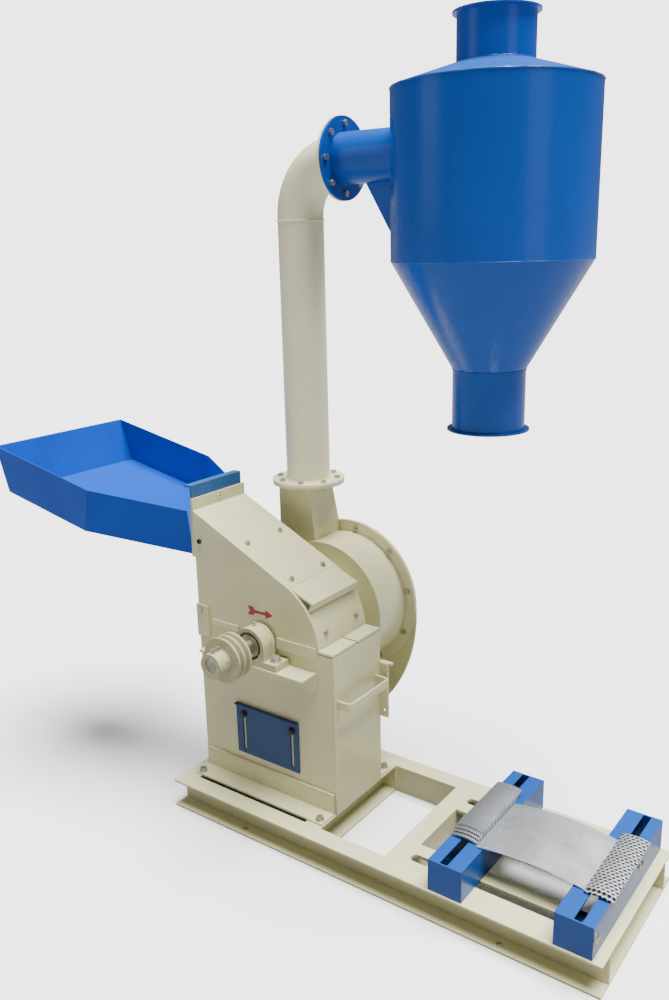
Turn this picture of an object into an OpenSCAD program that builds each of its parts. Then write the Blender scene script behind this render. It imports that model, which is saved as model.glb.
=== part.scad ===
// Hammer mill with feed tray, overhung blower, delivery pipe and cyclone,
// on a welded channel base that also carries two sliding motor rails.
// Origin: centre of the foundation bolt pattern, on the floor. X runs from the
// mill to the motor end, Y from the pulley side to the blower side, Z is up.

/* [Base frame] */
// Length of the base frame
base_len = 1150; // [1140:5:1250]
// Width of the base frame
base_w = 425; // [420:1:440]
// Height of the base channels
channel_h = 75; // [70:1:80]
// Flange width of the base channels
flange_w = 46; // [42:1:50]
// Thickness of the folded channels
channel_t = 5; // [4:0.5:6]
// Distance of the foundation holes from the base centre along X
foundation_x = 350; // [300:5:400]
// Diameter of the foundation holes
foundation_d = 14; // [12:1:18]

/* [Mill casing] */
// Length of the lower casing along X
casing_len = 425; // [415:1:430]
// Depth of the casing along the shaft
casing_w = 195; // [190:1:200]
// Height of the rotor axis above the floor
axis_z = 489; // [480:1:500]
// Wall thickness of the lower casing
casing_t = 5; // [4:0.5:6]
// Outer radius of the rounded part of the cover
cover_r = 170; // [168:1:172]
// Slope of the straight part of the cover
cover_slope = 26; // [24:0.5:27]
// Wall thickness of the cover
cover_t = 4; // [3:0.5:5]

/* [Rotor] */
// Diameter of the shaft in its two bearings
shaft_d = 35; // [30:1:38]
// Swing radius of the hammer tips when the rotor turns
tip_r = 145; // [135:1:148]
// Radius of the hammer pin circle
pin_circle_r = 85; // [80:1:88]
// Diameter of the hammer pins
pin_d = 16; // [12:1:18]
// Thickness of one hammer
hammer_t = 6; // [5:1:8]
// Outer diameter of the two-groove belt pulley
pulley_d = 110; // [100:1:120]

/* [Blower] */
// Outer radius of the fan drum
drum_r = 176; // [172:1:178]
// Width of the fan drum along the shaft
drum_w = 125; // [122:1:130]
// Radius of the eye where the air enters the fan
eye_r = 75; // [65:1:80]
// Outer diameter of the delivery pipe
pipe_d = 114.3; // [108:0.1:117]
// Height of the flange joint above the outlet duct
duct_joint_z = 810; // [800:1:830]
// Height of the axis of the cyclone inlet
inlet_z = 1605; // [1590:1:1630]
// Centre-line radius of the delivery elbow
bend_r = 125; // [110:1:128]

/* [Cyclone] */
// Outer radius of the cyclone body
cyclone_r = 220; // [200:1:230]
// X of the cyclone axis
cyclone_x = 92; // [85:1:110]
// Height of the joint between body and cone
cone_top_z = 1373; // [1360:1:1390]
// Height of the rim between body and lid
lid_z = 1722; // [1710:1:1740]
// Radius of the top and bottom tubes
tube_r = 82; // [75:1:90]
// Height of the top of the outlet tube
top_z = 1865; // [1850:1:1900]
// Height of the bottom flange
bottom_z = 998; // [980:1:1010]

/* [Feed tray] */
// Full width of the tray
tray_w = 444; // [400:2:460]
// Distance along the tray from the mouth to the corner of the taper
tray_taper = 259; // [240:5:300]
// Length of the tray floor along its slope
tray_len = 572; // [540:2:600]
// Depth of the tray, square to its floor
tray_h = 113; // [100:1:120]
// Slope of the tray floor
tray_slope = 11.3; // [9:0.1:13]

/* [Motor rails] */
// Width of one motor rail
rail_w = 81; // [78:1:84]
// Height of one motor rail
rail_h = 75; // [70:1:80]
// X of the centre of the inner rail
rail_1_x = 226.5; // [215:0.5:240]
// X of the centre of the outer rail
rail_2_x = 511.5; // [505:0.5:512]
// Width of the motor bolt slot in a rail
rail_slot = 18; // [14:1:20]

/* [Hidden] */
$fn = 64;
eps = 0.01;

// Places that follow from the driving sizes
casing_x0 = -base_len / 2 + 20;
casing_x1 = casing_x0 + casing_len;
casing_yc = -5;
casing_y0 = casing_yc - casing_w / 2;
casing_y1 = casing_yc + casing_w / 2;
axis_x = casing_x0 + casing_len / 2;
base_in_y = base_w / 2 - flange_w;
foundation_y = base_w / 2 - 20;
mid_cross_x = casing_x1 + 179;
guide_x0 = mid_cross_x + flange_w;
guide_x1 = base_len / 2 - flange_w;
guide_w = 83;
guide_t = 8;
guide_slot_y = 132;
guide_slot_w = 25;

steel_cream = [0.80, 0.78, 0.68];
steel_blue = [0.06, 0.28, 0.70];
bare_steel = [0.62, 0.63, 0.64];
dark_steel = [0.32, 0.32, 0.33];
zinc = [0.78, 0.78, 0.75];

// ---------------------------------------------------------------- helpers
// Cylinder along +Y from y0, centred on (x, z)
module rod_y(x, z, y0, len, d) {
    translate([x, y0, z]) rotate([-90, 0, 0]) cylinder(h = len, d = d);
}
// Cylinder along +X from x0, centred on (y, z)
module rod_x(y, z, x0, len, d) {
    translate([x0, y, z]) rotate([0, 90, 0]) cylinder(h = len, d = d);
}
// Flat shape drawn in X-Z, given a thickness along +Y from y0
module plate_y(y0, t) {
    translate([0, y0 + t, 0]) rotate([90, 0, 0]) linear_extrude(t) children();
}
// Hexagon bolt head with its axis along +Z
module hex_head(d, h) {
    cylinder(h = h, d = d, $fn = 6);
}
// Folded channel of length len along X, open towards -Y, its back at y = flange_w
module channel_x(len) {
    difference() {
        cube([len, flange_w, channel_h]);
        translate([-1, -1, channel_t])
            cube([len + 2, flange_w - channel_t + 1, channel_h - 2 * channel_t]);
    }
}
// Folded channel of length len along Y, open towards +X, its back at x = 0
module channel_y(len) {
    difference() {
        cube([flange_w, len, channel_h]);
        translate([channel_t, -1, channel_t])
            cube([flange_w, len + 2, channel_h - 2 * channel_t]);
    }
}
// Ring of equal children about +Z
module ring_of(n, r, a0 = 0) {
    for (i = [0 : n - 1]) rotate([0, 0, a0 + i * 360 / n]) translate([r, 0, 0]) children();
}

// ---------------------------------------------------------------- base frame
module long_channel() {
    difference() {
        translate([-base_len / 2, -base_w / 2, 0]) channel_x(base_len);
        for (sx = [-1, 1])
            translate([sx * foundation_x, -foundation_y, -1]) cylinder(h = channel_t + 2, d = foundation_d);
    }
}
module base_front_channel() { color(steel_cream) long_channel(); }
module base_back_channel() { color(steel_cream) mirror([0, 1, 0]) long_channel(); }
module base_end_channels() {
    color(steel_cream) for (side = [0, 1]) mirror([side, 0, 0])
        translate([base_len / 2 - flange_w, -base_in_y, 0]) channel_y(2 * base_in_y);
}
module mill_cross_channel() {
    color(steel_cream) translate([casing_x1 - flange_w - 3, -base_in_y, 0]) channel_y(2 * base_in_y);
}
module middle_cross_channel() {
    color(steel_cream) translate([mid_cross_x + flange_w, -base_in_y, 0])
        mirror([1, 0, 0]) channel_y(2 * base_in_y);
}
module motor_guide() {
    slot_x0 = guide_x0 + 5 + guide_slot_w / 2;
    slot_x1 = guide_x1 - 5 - guide_slot_w / 2;
    difference() {
        translate([guide_x0, -base_in_y, channel_h - guide_t]) cube([guide_x1 - guide_x0, guide_w, guide_t]);
        for (x = [slot_x0, slot_x1])
            translate([x, -guide_slot_y, channel_h - guide_t - 1]) cylinder(h = guide_t + 2, d = guide_slot_w);
        translate([slot_x0, -guide_slot_y - guide_slot_w / 2, channel_h - guide_t - 1])
            cube([slot_x1 - slot_x0, guide_slot_w, guide_t + 2]);
    }
}
module motor_guides() {
    color(steel_cream) {
        motor_guide();
        mirror([0, 1, 0]) motor_guide();
    }
}

// ---------------------------------------------------------------- lower casing
door_x0 = axis_x - 97.5;
door_w = 200;
door_z0 = 154;
door_h = 135;
door_t = 4;
slot_w = 9;
slot_z0 = 168;
slot_z1 = 266;
door_slots_x = [door_x0 + 25, door_x0 + 180];
window_x0 = door_x0 + 38;
window_w = door_w - 70;
window_z0 = door_z0 + 18;
window_h = door_h - 36;
shaft_gap_r = 30;
box_half = 110;
box_z0 = 134;
box_t = 3;
screen_r = 158;
screen_t = 3;
support_r = screen_r + screen_t + 4;

module lower_casing() {
    in_y0 = casing_y0 + casing_t;
    in_w = casing_w - 2 * casing_t;
    color(steel_cream) {
        difference() {
            translate([casing_x0, casing_y0, channel_h]) cube([casing_len, casing_w, axis_z - channel_h]);
            translate([casing_x0 + casing_t, in_y0, channel_h + casing_t])
                cube([casing_len - 2 * casing_t, in_w, axis_z]);
            rod_y(axis_x, axis_z, casing_y0 - 1, casing_w + 2, 2 * shaft_gap_r);
            translate([window_x0, casing_y0 - 1, window_z0]) cube([window_w, casing_t + 2, window_h]);
            translate([axis_x - box_half + box_t, casing_y1 - casing_t - 1, box_z0 + box_t])
                cube([2 * (box_half - box_t), casing_t + 2, 160]);
            for (x = door_slots_x) rod_y(x, slot_z1, casing_y0 - 1, casing_t + 2, 8.4);
        }
        for (y = [in_y0, in_y0 + in_w - 9]) half_ring(screen_r + screen_t, support_r, y, y + 9);
        ledge = casing_len / 2 - casing_t - support_r + 2;
        for (x = [casing_x0 + casing_t, casing_x1 - casing_t - ledge])
            translate([x, in_y0, axis_z - 5]) cube([ledge, in_w, 5]);
    }
}

foot_leg = 50;
foot_t = 6;
foot_x0 = casing_x0 + 5;
foot_len = casing_len - 10;
foot_bolts_x = [foot_x0 + 15, casing_x1 - 20];
foot_hole_y = 42.5;
module foot_angle(x0, len) {
    translate([x0, -foot_leg - foot_t, 0]) cube([len, foot_leg + foot_t, foot_t]);
    translate([x0, -foot_t, foot_t]) cube([len, foot_t, foot_leg]);
}
module casing_feet() {
    color(steel_cream) for (side = [0, 1]) difference() {
        translate([0, side == 0 ? casing_y0 : casing_y1, channel_h]) mirror([0, side, 0]) foot_angle(foot_x0, foot_len);
        y = side == 0 ? casing_y0 - foot_hole_y : casing_y1 + foot_hole_y;
        for (x = foot_bolts_x) translate([x, y, channel_h - 1]) cylinder(h = foot_t + 2, d = 11);
    }
}
module foot_bolts() {
    color(zinc) for (x = foot_bolts_x, y = [casing_y0 - foot_hole_y, casing_y1 + foot_hole_y])
        translate([x, y, channel_h + foot_t]) {
            cylinder(h = 2, d = 22);
            translate([0, 0, 2]) hex_head(18.5, 7);
        }
}
module slide_door() {
    color(steel_blue) {
        difference() {
            translate([door_x0, casing_y0 - door_t, door_z0]) cube([door_w, door_t, door_h]);
            for (x = door_slots_x) {
                translate([x - slot_w / 2, casing_y0 - door_t - 1, slot_z0])
                    cube([slot_w, door_t + 2, slot_z1 - slot_z0]);
                for (z = [slot_z0, slot_z1]) rod_y(x, z, casing_y0 - door_t - 1, door_t + 2, slot_w);
            }
        }
        translate([door_x0, casing_y0 - door_t - 8, door_z0 + door_h]) cube([door_w, 8 + door_t, 3]);
    }
}
module door_bolts() {
    head_y = casing_y0 - door_t - 0.3;
    color(dark_steel) for (x = door_slots_x) {
        rod_y(x, slot_z1, head_y, casing_y0 + casing_t - head_y, 8.4);
        rod_y(x, slot_z1, head_y - 2, 2, 20);
        translate([x, head_y - 2, slot_z1]) rotate([90, 0, 0]) hex_head(15, 5.5);
        translate([x, casing_y0 + casing_t + 6, slot_z1]) rotate([90, 0, 0]) hex_head(15, 6);
    }
}
handle_z = 358;
handle_h = 20;
handle_t = 6;
handle_out = 40;
handle_bend = 15;
module grab_outline(g) {
    r = handle_bend - g;
    y0 = casing_y0 + 10.5 + g;
    len = casing_w - 27 - 2 * g;
    translate([casing_x1 - (g > 0 ? 1 : 0), y0]) square([handle_out - handle_bend + (g > 0 ? 1 : 0), len]);
    translate([casing_x1 + 1, y0 + r]) square([handle_out - g - 1, len - 2 * r]);
    for (y = [y0 + r, y0 + len - r]) translate([casing_x1 + handle_out - handle_bend, y]) circle(r = r);
}
module grab_handle() {
    color(steel_cream) difference() {
        translate([0, 0, handle_z]) linear_extrude(handle_h) grab_outline(0);
        translate([0, 0, handle_z - 1]) linear_extrude(handle_h + 2) grab_outline(handle_t);
    }
}

// ---------------------------------------------------------------- bearings
block_h = 47.6;
block_w = 48;
block_len = 167;
block_bolt = 63.5;
shelf_z = axis_z - block_h;
shelf_d = 57.5;
shelf_t = 6;
shelf_x0 = axis_x - 162.5;
shelf_len = 325;
bolt_hole = 14;
front_block_y = casing_y0 - 29.5;
drum_y0 = casing_y1 + 57.5;
drum_y1 = drum_y0 + drum_w;
plate_t = 5;
back_y = drum_y1 + plate_t;
rear_block_y = back_y + 28;
rear_shelf_half = 100;
module shelf_holes(yc) {
    for (sx = [-1, 1])
        translate([axis_x + sx * block_bolt, yc, shelf_z - shelf_t - 1]) cylinder(h = shelf_t + 2, d = bolt_hole);
}
module bearing_shelf_front() {
    color(steel_cream) difference() {
        union() {
            translate([shelf_x0, casing_y0 - shelf_d, shelf_z - shelf_t]) cube([shelf_len, shelf_d, shelf_t]);
            translate([shelf_x0, casing_y0 - shelf_t, shelf_z - 51.4]) cube([shelf_len, shelf_t, 51.4 - shelf_t]);
        }
        shelf_holes(front_block_y);
    }
}
module bearing_shelf_rear() {
    color(steel_cream) {
        difference() {
            translate([axis_x - rear_shelf_half, back_y, shelf_z - shelf_t])
                cube([2 * rear_shelf_half, shelf_d, shelf_t]);
            shelf_holes(rear_block_y);
        }
        for (x = [axis_x - rear_shelf_half, axis_x + rear_shelf_half - 6]) translate([x, 0, 0])
            rotate([90, 0, 90]) linear_extrude(6)
                polygon([[back_y, shelf_z - shelf_t], [back_y + 50, shelf_z - shelf_t], [back_y, shelf_z - 80]]);
    }
}

race_r = 29;
race_w = 20;
module bearing_housing(yc) {
    difference() {
        union() {
            rod_y(axis_x, axis_z, yc - block_w / 2 + 2, block_w - 4, 2 * 45);
            translate([axis_x - 45, yc - block_w / 2 + 2, shelf_z]) cube([90, block_w - 4, block_h]);
            translate([axis_x - block_len / 2, yc - block_w / 2, shelf_z]) cube([block_len, block_w, 17]);
        }
        rod_y(axis_x, axis_z, yc - block_w / 2 - 1, block_w + 2, 2 * race_r + 12);
        for (sx = [-1, 1])
            translate([axis_x + sx * block_bolt, yc, shelf_z - 1]) cylinder(h = 20, d = bolt_hole);
    }
    difference() {
        rod_y(axis_x, axis_z, yc - race_w / 2, race_w, 2 * race_r + 12);
        rod_y(axis_x, axis_z, yc - race_w / 2 - 1, race_w + 2, 2 * race_r);
    }
}
module bearing_housing_front() { color(steel_cream) bearing_housing(front_block_y); }
module bearing_housing_rear() { color(steel_cream) bearing_housing(rear_block_y); }
module bearing_inner_rings() {
    color(bare_steel) for (yc = [front_block_y, rear_block_y]) difference() {
        rod_y(axis_x, axis_z, yc - 21, 42, 2 * race_r - 0.16);
        rod_y(axis_x, axis_z, yc - 22, 44, shaft_d);
    }
}
module bearing_bolts() {
    color(zinc) for (yc = [front_block_y, rear_block_y], sx = [-1, 1])
        translate([axis_x + sx * block_bolt, yc, shelf_z]) {
            translate([0, 0, 17]) cylinder(h = 3, d = 28);
            translate([0, 0, 20]) hex_head(22, 9);
            translate([0, 0, -shelf_t - 12]) cylinder(h = 41 + shelf_t, d = 12);
            translate([0, 0, -shelf_t - 10]) hex_head(22, 10);
        }
}

// ---------------------------------------------------------------- screen
screen_y0 = casing_y0 + casing_t + 0.5;
screen_y1 = casing_y1 - casing_t - 0.5;
module half_ring(r_in, r_out, y0, y1) {
    translate([axis_x, y0, axis_z]) rotate([-90, 0, 0])
        rotate_extrude(angle = 180, $fn = 96) translate([r_in, 0]) square([r_out - r_in, y1 - y0]);
}
module screen() {
    color(bare_steel) half_ring(screen_r, screen_r + screen_t, screen_y0, screen_y1);
}

// ---------------------------------------------------------------- hinged cover
split_gap = 0.5;
cover_z0 = axis_z + split_gap;
cover_x1 = axis_x + cover_r;
top_rise = (axis_x + cover_r * sin(cover_slope) - casing_x0) * tan(cover_slope);
cover_top_z = axis_z + cover_r * cos(cover_slope) + top_rise;
hinge_x = casing_x0 + 12;
hinge_z = axis_z + 35;
// Side outline of the cover, drawn in X-Z and set in by the distance t
module cover_outline(t) {
    r = cover_r - t;
    x_left = casing_x0 + t;
    tx = axis_x + r * sin(cover_slope);
    tz = axis_z + r * cos(cover_slope);
    difference() {
        union() {
            translate([axis_x, axis_z]) circle(r = r, $fn = 128);
            polygon([[x_left, cover_z0 - 1], [axis_x, cover_z0 - 1], [axis_x, axis_z + 1], [tx, tz],
                     [x_left, tz + (tx - x_left) * tan(cover_slope)]]);
        }
        translate([casing_x0 - 10, axis_z - 2 * cover_r]) square([casing_len + 20, 2 * cover_r + split_gap]);
    }
}
module cover_shell() {
    color(steel_cream) difference() {
        plate_y(casing_y0, casing_w) cover_outline(0);
        plate_y(casing_y0 + cover_t, casing_w - 2 * cover_t) cover_inside();
        rod_y(axis_x, axis_z, casing_y0 - 1, casing_w + 2, 2 * shaft_gap_r);
        mouth_hole(casing_x0 - 1, cover_t + 2);
        translate([casing_x0 - 1, casing_y0 - 1, cover_z0 - 1]) cube([16, casing_w + 2, 4]);
        for (y = [casing_y0 - 1, casing_y1 - cover_t - 1]) rod_y(hinge_x, hinge_z, y, cover_t + 2, 10.16);
        for (b = bolt_stations, y = liner_bolt_y)
            translate([b[0], y, b[1]]) rotate([0, b[2], 0]) translate([0, 0, -12]) cylinder(h = 20, d = 8);
    }
}
// Opening between the tray and the grinding chamber
module mouth_hole(x0, len) {
    translate([x0, casing_y0 + 17.5, 676]) cube([len, casing_w - 35, 95]);
}
// Inside of the cover, carried a little lower so that the shell is open below
module cover_inside() {
    cover_outline(cover_t);
    translate([casing_x0 + cover_t, axis_z - 1]) square([cover_x1 - casing_x0 - 2 * cover_t - 0.03, 4]);
}
// Stations of the liner bolts: X, Z and lean of the surface there
function slope_z(x) = axis_z + cover_r * cos(cover_slope) + (axis_x + cover_r * sin(cover_slope) - x) * tan(cover_slope);
arc_bolt = 15;
bolt_stations = [
    [casing_x0 + 145, slope_z(casing_x0 + 145), cover_slope],
    [casing_x0 + 280, slope_z(casing_x0 + 280), cover_slope],
    [axis_x + cover_r * cos(arc_bolt), axis_z + cover_r * sin(arc_bolt), 90 - arc_bolt]
];
liner_bolt_y = [casing_yc - 62, casing_yc + 62];
module liner_bolts() {
    color(zinc) for (s = bolt_stations, y = liner_bolt_y)
        translate([s[0], y, s[1]]) rotate([0, s[2], 0]) {
            translate([0, 0, 0.6]) hex_head(14, 5);
            translate([0, 0, -9]) cylinder(h = 17, d = 8);
        }
}
liner_y0 = casing_y0 + cover_t + 1;
liner_w = casing_w - 2 * cover_t - 2;
module breaker_liner() {
    r_out = cover_r - cover_t;
    back = cover_t + 8;
    color(dark_steel) difference() {
        union() {
            translate([axis_x, liner_y0 + liner_w, axis_z]) rotate([90, 0, 0]) rotate([0, 0, 4])
                rotate_extrude(angle = 60, $fn = 128) translate([r_out - 8, 0]) square([8, liner_w]);
            translate([bolt_stations[1][0], liner_y0, bolt_stations[1][1]]) rotate([0, cover_slope, 0])
                translate([-215, 0, -back]) cube([221, liner_w, 8]);
        }
        for (b = bolt_stations, y = liner_bolt_y)
            translate([b[0], y, b[1]]) rotate([0, b[2], 0]) translate([0, 0, -20]) cylinder(h = 30, d = 8);
    }
}
// Angle welded across the round of the cover, to lift it by
module cover_handle() {
    y0 = casing_y0 + 6;
    w = casing_w - 12;
    color(steel_cream) difference() {
        translate([axis_x + 58, y0, axis_z + 153]) rotate([0, 22, 0]) {
            cube([100, w, 5]);
            translate([95, 0, -17]) cube([5, w, 17.01]);
            translate([50, 0, -50]) cube([5, w, 50.01]);
        }
        plate_y(casing_y0 - 1, casing_w + 2) cover_outline(0);
        translate([axis_x - 100, casing_y0 - 1, axis_z - 100]) cube([205, casing_w + 2, 100 + 60]);
    }
}
// Sealing strips on the front of the cover and the two clamping tabs at its foot
module cover_strips() {
    tab_gap = 6;
    color(steel_cream) {
        translate([axis_x + 45.5, casing_y0 - 5, axis_z - 13]) cube([118, 5, 28]);
        translate([casing_x0 + 48, casing_y0 - 5, axis_z + 1]) cube([89, 5, 15]);
        for (y = [casing_y0, casing_yc + tab_gap / 2])
            translate([cover_x1, y, cover_z0 + 2]) cube([casing_x1 - cover_x1 - 1, casing_w / 2 - tab_gap / 2, 6]);
    }
}
leaf_t = 6;
module hinge_leaves() {
    color(steel_cream) for (y = [casing_y0 - leaf_t, casing_y1]) difference() {
        translate([casing_x0 - 2, y, axis_z - 38]) cube([39, leaf_t, 85]);
        rod_y(hinge_x, hinge_z, y - 1, leaf_t + 2, 10);
    }
}
module hinge_bolts() {
    len = leaf_t + cover_t + 3;
    color(zinc) {
        rod_y(hinge_x, hinge_z, casing_y0 - leaf_t, len, 10);
        translate([hinge_x, casing_y0 - leaf_t, hinge_z]) rotate([90, 0, 0]) hex_head(17, 6);
        rod_y(hinge_x, hinge_z, casing_y1 + leaf_t - len, len, 10);
        translate([hinge_x, casing_y1 + leaf_t + 6, hinge_z]) rotate([90, 0, 0]) hex_head(17, 6);
    }
}

// ---------------------------------------------------------------- mouth, gate and tray
mouth_x = casing_x0;
mouth_t = 5;
gate_t = 4;
gate_gap = 6;
mouth_z0 = 660;
mouth_top = cover_top_z + 29;
module mouth_flange() {
    color(steel_cream) {
        difference() {
            translate([mouth_x - mouth_t, casing_y0, mouth_z0]) cube([mouth_t, casing_w, mouth_top - mouth_z0]);
            mouth_hole(mouth_x - mouth_t - 1, mouth_t + 2);
        }
        for (y = [casing_y0, casing_y1 - 5])
            translate([mouth_x - mouth_t - gate_gap, y, mouth_z0]) cube([gate_gap, 5, cover_top_z - mouth_z0]);
    }
}
module feed_gate() {
    x0 = mouth_x - mouth_t - 1 - gate_t;
    top = mouth_top + 28;
    color(steel_blue) {
        translate([x0, casing_y0 + 5.5, mouth_z0 + 8]) cube([gate_t, casing_w - 11, top - mouth_z0 - 8]);
        translate([x0 - 18, casing_y0 + 5.5, top]) cube([18 + gate_t, casing_w - 11, 4]);
    }
}
tray_x = mouth_x - mouth_t - gate_gap;
tray_z = 667;
tray_t = 3;
tray_lean = 63;
tray_mouth_half = casing_w / 2;
// Block of the tray's outside (t = 0) or inside (t = wall), level with its floor
module tray_block(t, floor_t) {
    half = tray_w / 2 - t;
    m_half = tray_mouth_half - t;
    intersection() {
        translate([0, 0, floor_t]) linear_extrude(tray_h + 2 * (t > 0 ? 1 : 0))
            polygon([[60, -m_half], [0, -m_half], [-tray_taper, -half], [-tray_len - 2 * tray_lean, -half],
                     [-tray_len - 2 * tray_lean, half], [-tray_taper, half], [0, m_half], [60, m_half]]);
        translate([0, tray_w / 2 + 1, 0]) rotate([90, 0, 0]) linear_extrude(tray_w + 2)
            polygon([[61, floor_t], [61, tray_h * 1.5], [-tray_len - tray_lean * 1.5 + t, tray_h * 1.5],
                     [-tray_len + t, floor_t]]);
    }
}
module feed_tray() {
    color(steel_blue) difference() {
        translate([tray_x, casing_yc, tray_z]) rotate([0, tray_slope, 0]) difference() {
            intersection() {
                tray_block(0, 0);
                translate([-1000, -500, 0]) cube([1100, 1000, tray_h]);
            }
            tray_block(tray_t, tray_t);
        }
        translate([tray_x, -400, 400]) cube([200, 800, 600]);
    }
}

// ---------------------------------------------------------------- rotor
disc_y = [for (i = [-2 : 2]) casing_yc + 38 * i];
disc_t = 8;
disc_r = 105;
core_d = 45;
pin_off = pin_circle_r / sqrt(2);
pin_signs = [[1, 1], [-1, 1], [-1, -1], [1, -1]];
gap_y = [for (i = [0 : 3]) (disc_y[i] + disc_y[i + 1]) / 2];
pulley_y0 = -250;
pulley_w = 44;
hub_y0 = -288;
drum_t = 4;
fan_y0 = drum_y0 + drum_t + 8;
shaft_y0 = hub_y0 + 3;
shaft_y1 = rear_block_y + 28;
core_y0 = disc_y[0] - disc_t / 2 - 6;
core_y1 = disc_y[4] + disc_t / 2 + 6;
module rotor_shaft() {
    color(bare_steel) difference() {
        union() {
            rod_y(axis_x, axis_z, shaft_y0, shaft_y1 - shaft_y0, shaft_d);
            rod_y(axis_x, axis_z, core_y0, core_y1 - core_y0, core_d);
            for (y = [core_y0, core_y1 - 6]) rod_y(axis_x, axis_z, y, 6, 56);
        }
        translate([axis_x - 5, shaft_y0 - 1, axis_z + shaft_d / 2 - 5]) cube([10, 72, 10]);
    }
}
module rotor_discs() {
    color(dark_steel) for (y = disc_y) difference() {
        rod_y(axis_x, axis_z, y - disc_t / 2, disc_t, 2 * disc_r);
        rod_y(axis_x, axis_z, y - disc_t, 2 * disc_t, core_d);
        for (s = pin_signs)
            rod_y(axis_x + s[0] * pin_off, axis_z + s[1] * pin_off, y - disc_t, 2 * disc_t, pin_d);
    }
}
module rotor_sleeves() {
    color(dark_steel) for (i = [0 : 3]) difference() {
        rod_y(axis_x, axis_z, disc_y[i] + disc_t / 2, disc_y[i + 1] - disc_y[i] - disc_t, 60);
        rod_y(axis_x, axis_z, disc_y[i], disc_y[i + 1] - disc_y[i], core_d);
    }
}
module hammer_pins() {
    y0 = disc_y[0] - disc_t / 2;
    y1 = disc_y[4] + disc_t / 2;
    color(bare_steel) for (s = pin_signs) {
        rod_y(axis_x + s[0] * pin_off, axis_z + s[1] * pin_off, y0 - 5, y1 - y0 + 10, pin_d);
        for (y = [y0 - 5, y1]) rod_y(axis_x + s[0] * pin_off, axis_z + s[1] * pin_off, y, 5, pin_d + 8);
    }
}
hammer_w = 40;
hammer_head = 18;
function row_shift(i) = (i % 2 == 0) ? -7 : 7;
module hammers_row(i) {
    s = pin_signs[i];
    px = axis_x + s[0] * pin_off;
    pz = axis_z + s[1] * pin_off;
    reach = tip_r - pin_circle_r;
    color(dark_steel) for (y = gap_y) difference() {
        translate([px - hammer_w / 2, y + row_shift(i) - hammer_t / 2, pz - reach])
            cube([hammer_w, hammer_t, reach + hammer_head]);
        rod_y(px, pz, y + row_shift(i) - hammer_t, 2 * hammer_t, pin_d + 0.16);
    }
}
module hammers_row_1() { hammers_row(0); }
module hammers_row_2() { hammers_row(1); }
module hammers_row_3() { hammers_row(2); }
module hammers_row_4() { hammers_row(3); }

set_screw_y = [hub_y0 + 11, hub_y0 + 27];
groove_pitch = 19;
groove_top = 13;
groove_deep = 12;
module pulley() {
    r = pulley_d / 2;
    color(steel_cream) difference() {
        translate([axis_x, 0, axis_z]) rotate([-90, 0, 0]) difference() {
            translate([0, 0, hub_y0]) rotate_extrude() difference() {
                union() {
                    square([30, pulley_y0 - hub_y0 + pulley_w]);
                    translate([0, pulley_y0 - hub_y0]) square([r, pulley_w]);
                }
                for (k = [-0.5, 0.5]) translate([r, pulley_y0 - hub_y0 + pulley_w / 2 + k * groove_pitch])
                    polygon([[1, -groove_top / 2 - 0.3], [1, groove_top / 2 + 0.3],
                             [-groove_deep, groove_top / 2 - 3.5], [-groove_deep, -groove_top / 2 + 3.5]]);
            }
            translate([0, 0, hub_y0 - 1]) cylinder(h = 100, d = shaft_d);
        }
        translate([axis_x - 5, hub_y0 - 1, axis_z + shaft_d / 2 - 5]) cube([10, 100, 8.5]);
        for (y = set_screw_y) translate([axis_x, y, axis_z + 20]) cylinder(h = 30, d = 8);
    }
}
module pulley_set_screws() {
    color(zinc) for (y = set_screw_y) translate([axis_x, y, axis_z]) {
        translate([0, 0, 21]) cylinder(h = 10, d = 8);
        translate([-4.5, -4.5, 30.5]) cube([9, 9, 9]);
    }
}
module pulley_key() {
    color(bare_steel) translate([axis_x - 5, shaft_y0, axis_z + shaft_d / 2 - 5]) cube([10, 68, 8.5]);
}
module impeller() {
    hub_r = 34;
    blade_w = 92;
    color(steel_cream) difference() {
        union() {
            rod_y(axis_x, axis_z, fan_y0, blade_w + 10, 2 * hub_r);
            rod_y(axis_x, axis_z, fan_y0 + blade_w, 4, 2 * 160);
            translate([axis_x, 0, axis_z]) rotate([-90, 0, 0]) ring_of(6, 0)
                translate([hub_r - 4, -2, fan_y0 + 4]) cube([160 - hub_r, 4, blade_w - 4 + eps]);
        }
        rod_y(axis_x, axis_z, fan_y0 - 1, blade_w + 12, shaft_d);
    }
}

// ---------------------------------------------------------------- blower
ring_r = 205;
ring_t = 5;
ring_bolt_r = 188;
plate_foot_half = 52;
duct_x = axis_x - 90;
duct_y = (drum_y0 + drum_y1) / 2 + 1;
duct_wx = 113;
duct_wy = 112;
duct_square_top = axis_z + 200;
duct_hole_x0 = duct_x - duct_wx / 2 + 2;
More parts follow.
